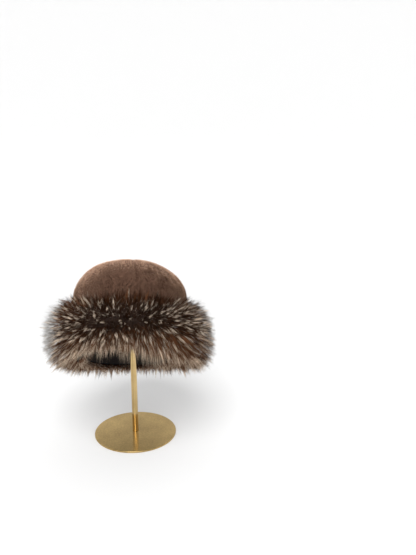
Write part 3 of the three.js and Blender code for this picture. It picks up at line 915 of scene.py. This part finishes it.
def lock_batch(zone):
    """Locks: hairs that stand apart at the root and gather to a point. Each lock bends its own way, its
    middle hairs are the palest, and most hairs end before its tip."""
    count = ZONE_LOCKS
    each = (count, LOCK_HAIRS)
    slope = spread_slopes(zone, count)
    place = np.arange(count) * GOLDEN_SHARE + dice.uniform(0, 0.25, count) / count
    around = 2 * math.pi * (place % 1)
    bent_aside = lock_field("sway", around, slope) + LOCK_CHANCE * dice.normal(size=count)
    bent_up = lock_field("tilt", around, slope) + LOCK_CHANCE * dice.normal(size=count)
    sway = combed(around) + LOCK_SWAY_DEGREES * bent_aside
    tip, way, reach = fan_hair(around, slope, slope + LOCK_SLOPE_DEGREES * bent_up, sway)
    longer = LOCK_LENGTH_CHANCE * dice.normal(size=count)
    longer = longer + LOCK_LENGTH_DRIFT * lock_field("length", around, slope)
    tip = tip + way * (reach * longer)[:, None]
    aside = unit(np.cross(way, [0.03, 0.02, 1.0]))
    third = np.cross(way, aside)
    turn = dice.uniform(0, 2 * math.pi, each)
    wide = np.sqrt(dice.uniform(0, 1, each))
    offset = (np.cos(turn) * wide)[..., None] * aside[:, None]
    offset = offset + (np.sin(turn) * wide)[..., None] * third[:, None]
    short = LOCK_SHORTER * reach[:, None] * dice.uniform(0, 1, each) ** LOCK_SHORTER_POWER
    root = (1 - LOCK_ROOT_SHARE) * reach[:, None] + 0 * short
    curl = dice.normal(size=(count, 1, 3)) * LOCK_CURL + dice.normal(size=(*each, 3)) * LOCK_HAIR_CURL
    lines = np.stack([
        tip[:, None] - way[:, None] * back[..., None] + offset * spread + curl * bend
        for back, spread, bend in zip((root, 0.5 * (root + short), short), LOCK_SPREADS, (0, 1, 0))
    ], axis=2)
    lines = hung(lines.reshape(-1, 3, 3))
    lines[:, 1:, 2] -= DROOP * BENT_HAIR_DROOP
    spread = LOCK_PALE_SPREAD[0] + LOCK_PALE_SPREAD[1] * fan("pale", slope)
    pale = fur_tone("pale", around, slope) + spread * dice.normal(size=count)
    pale = np.clip(pale + LOCK_SIDES_PALER * sideways(around) * smooth(90, 40, slope), *LOCK_PALEST)
    shade = pale[:, None] * (1 - LOCK_RIM_DARKER * smooth(0.5, 0.95, wide))
    shade = shade + LOCK_SHADE_SPREAD * dice.normal(size=each)
    kind = np.broadcast_to(hair_kinds(around, slope)[:, None], each)
    thickness = LOCK_HAIR_THICKNESS * dice.uniform(*THICKNESS_SPREAD, each)
    return hair_batch(lines, thickness.ravel(), map_u(kind, shade).ravel())


def single_batch(zone, sort):
    """Single hairs between the locks, straight or bent once, from one share of the reach to another."""
    count, jitter = sort["count"], sort["jitter"]
    slope = spread_slopes(zone, count)
    around = dice.uniform(0, 2 * math.pi, count)
    tilt = slope + 0.6 * jitter * dice.normal(size=count)
    end, way, reach = fan_hair(around, slope, tilt, combed(around) + jitter * dice.normal(size=count))
    root = end - way * ((1 - sort["root"]) * reach)[:, None]
    tip = end - way * ((1 - dice.uniform(*sort["tips"], count)) * reach)[:, None]
    bend = 0.5 * (root + tip) + dice.normal(size=(count, 3)) * LOOSE_HAIR_CURL
    lines = hung(np.stack([root, bend, tip] if sort["bent"] else [root, tip], axis=1))
    lines[:, -1, 2] -= DROOP
    kind = hair_kinds(around, slope)
    shade = sort["palest"] * fur_tone("pale", around, slope) * dice.uniform(0, 1, count)
    thickness = sort["thickness"] * dice.uniform(*THICKNESS_SPREAD, count)
    return hair_batch(lines, thickness, map_u(kind, shade))


def rim_batch():
    """Short hairs of the fur's edge, which is turned in under the rim. They hang from just inside the head
    opening, or stand in over the lining, at its sides and back."""
    around = np.radians(dice.uniform(*RIM_HAIR_ARC_DEGREES, RIM_HAIRS))
    slope = dice.uniform(*RIM_HAIR_SLOPES, RIM_HAIRS)
    way = fan_ways(around, slope, RIM_HAIR_SWAY_DEGREES * dice.normal(size=RIM_HAIRS))
    out = RIM_RADIUS - RIM_HAIR_INSET - crown_radius(np.array(CORE_HEIGHT))
    root = cuff_point(around, out, dice.uniform(*RIM_HAIR_HEIGHTS, RIM_HAIRS))
    tip = root + way * dice.uniform(*RIM_HAIR_LENGTHS, RIM_HAIRS)[:, None]
    shade = map_u(hair_kinds(around, slope), dice.uniform(*RIM_HAIR_SHADES, RIM_HAIRS))
    return hair_batch(hung(np.stack([root, tip], axis=1)), np.full(RIM_HAIRS, LOCK_HAIR_THICKNESS), shade)


def wisp_batch():
    """Wisps: a few fine hairs each, which part as they hang below the cuff's front edge and over the lining.
    A wisp reaches past the fan by a share of its depth, most of them by little."""
    each = (WISPS, WISP_HAIRS)
    middle = dice.uniform(*WISP_ARC_DEGREES, (WISPS, 1))
    around = np.radians(middle + WISP_SPREAD_DEGREES * dice.normal(size=each)).ravel()
    middle = dice.uniform(*WISP_SLOPES, (WISPS, 1))
    slope = (middle + WISP_SLOPE_SPREAD_DEGREES * dice.normal(size=each)).ravel()
    least, most = WISP_EXTRA
    extra = least + (most - least) * dice.uniform(0, 1, (WISPS, 1)) ** WISP_EXTRA_POWER
    extra = np.clip(extra + WISP_EXTRA_SPREAD * dice.normal(size=each), least, most).ravel()
    sway = combed(around) + WISP_SWAY_DEGREES * dice.normal(size=len(slope))
    end, way, reach = fan_hair(around, slope, slope, sway)
    root = end - way * (WISP_ROOT_SHARE * reach)[:, None]
    tip = end + way * (extra * reach)[:, None]
    bend = 0.5 * (root + tip) + WISP_CURL * dice.normal(size=tip.shape)
    lines = hung(np.stack([root, bend, tip], axis=1))
    lines[:, 1:, 2] -= WISP_DROOP * BENT_HAIR_DROOP
    pale = np.broadcast_to(dice.uniform(*WISP_SHADES, (WISPS, 1)), each).ravel()
    shade = map_u(hair_kinds(around, slope), pale + WISP_SHADE_SPREAD * dice.normal(size=len(pale)))
    return hair_batch(lines, np.full(len(pale), LOOSE_HAIRS["thickness"]), shade)


def zone_hairs(zone):
    """All hairs of one zone of the cuff: its locks, long loose hairs, and short dark hairs in between. The
    lowest zone also has the hairs under the rim and the wisps."""
    batches = [lock_batch(zone), single_batch(zone, LOOSE_HAIRS), single_batch(zone, UNDERHAIRS)]
    if zone["name"] == "fur_under":
        batches += [rim_batch(), wisp_batch()]
    return hair_mesh(zone["name"], batches)


def hair_colours():
    """Node group: colour of a hair by its map. Along the hair the root's brown passes to the middle's, to a
    dark band and to the tip's. The paler the hair, the sooner its tip starts, and its end may darken."""
    inputs = {"Map": "Vector", "Root": "Color", "Middle": "Color", "Band": "Color", "Tip": "Color"}
    inputs["Dark End"] = "Float"
    group, given, result = new_group("hair_colours", inputs, {"Colour": "Color"})
    parts = new_node(group, "SeparateXYZ", {"Vector": given["Map"]}).outputs

    def step(low, high, value):
        limits = {"Value": value, "From Min": low, "From Max": high}
        return new_node(group, "MapRange", limits, interpolation_type="SMOOTHSTEP").outputs["Result"]

    def worked(operation, first, second):
        return new_node(group, "Math", {0: first, 1: second}, operation=operation).outputs["Value"]

    starts = {"Value": parts["X"], "To Min": TIP_STARTS[0], "To Max": TIP_STARTS[1]}
    start = new_node(group, "MapRange", starts).outputs["Result"]
    rise = step(start, worked("ADD", start, TIP_RISE), parts["Y"])
    fall = worked("MULTIPLY", given["Dark End"], step(DARK_END_STARTS, 1.0, parts["Y"]))
    lasting = worked("MULTIPLY", rise, worked("SUBTRACT", 1.0, fall))
    pale = worked("MULTIPLY", step(*PALE_SHADES, parts["X"]), lasting)
    # The root's near-black is partly the hair's own colour and partly painted shade deep in the fur.
    lower = mixed(group, step(*ROOT_TO_MIDDLE, parts["Y"]), given["Root"], given["Middle"])
    upper = mixed(group, step(*MIDDLE_TO_BAND, parts["Y"]), lower, given["Band"])
    group.links.new(mixed(group, pale, upper, given["Tip"]), result["Colour"])
    return group


def by_kind(tree, column, u):
    """Colour ramp node with one column of the kinds of hair, a flat strip of u for each. The stop that a new
    ramp has at its end is taken off."""
    ramp = new_node(tree, "ValToRGB", {"Fac": u})
    ramp.color_ramp.interpolation = "CONSTANT"
    for index, kind in enumerate(HAIR_KINDS):
        stops = ramp.color_ramp.elements
        stop = stops[0] if index == 0 else stops.new(index / len(HAIR_KINDS))
        stop.color = (*np.broadcast_to(kind[column], 3), 1)
    stops.remove(stops[-1])
    return ramp.outputs["Color"]


hair, hair_shader = new_material("long_hair", Roughness=0.6, Specular_IOR_Level=0.0)
tree = hair.node_tree
chart = new_node(tree, "UVMap", uv_map="OFBake")
parts = new_node(tree, "SeparateXYZ", {"Vector": chart.outputs["UV"]}).outputs
strips = new_node(tree, "Math", {0: parts["X"], 1: len(HAIR_KINDS)}, operation="MULTIPLY")
shade = new_node(tree, "Math", {0: strips.outputs["Value"]}, operation="FRACT")
place = new_node(tree, "CombineXYZ", {"X": shade.outputs["Value"], "Y": parts["Y"]})
colours = new_node(tree, "Group", node_tree=hair_colours())
tree.links.new(place.outputs["Vector"], colours.inputs["Map"])
for socket in ("Root", "Middle", "Band", "Tip", "Dark End"):
    tree.links.new(by_kind(tree, socket.lower().replace(" ", "_"), parts["X"]), colours.inputs[socket])
tree.links.new(colours.outputs["Colour"], hair_shader.inputs["Base Color"])

dense, dense_shader = new_material("underfur", Roughness=0.95)
tree = dense.node_tree
place = new_node(tree, "TexCoord").outputs["Object"]
tufts = new_node(tree, "TexNoise", {"Vector": place, "Scale": 260.0, "Detail": 4.0}).outputs["Fac"]
bump = new_node(tree, "Bump", {"Height": tufts, "Strength": 1.0, "Distance": 0.004})
tree.links.new(mixed(tree, tufts, UNDERFUR_DARK, UNDERFUR_BROWN), dense_shader.inputs["Base Color"])
tree.links.new(bump.outputs["Normal"], dense_shader.inputs["Normal"])

underfur = add_piece("fur_underfur", skin("fur_underfur", underfur_rows(), around=True), dense)
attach(underfur, "root")
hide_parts("fur_brim")
for zone in ZONES:
    locks = add_piece(zone["name"], zone_hairs(zone), hair)
    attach(locks, "root")
    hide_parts("fur_brim")
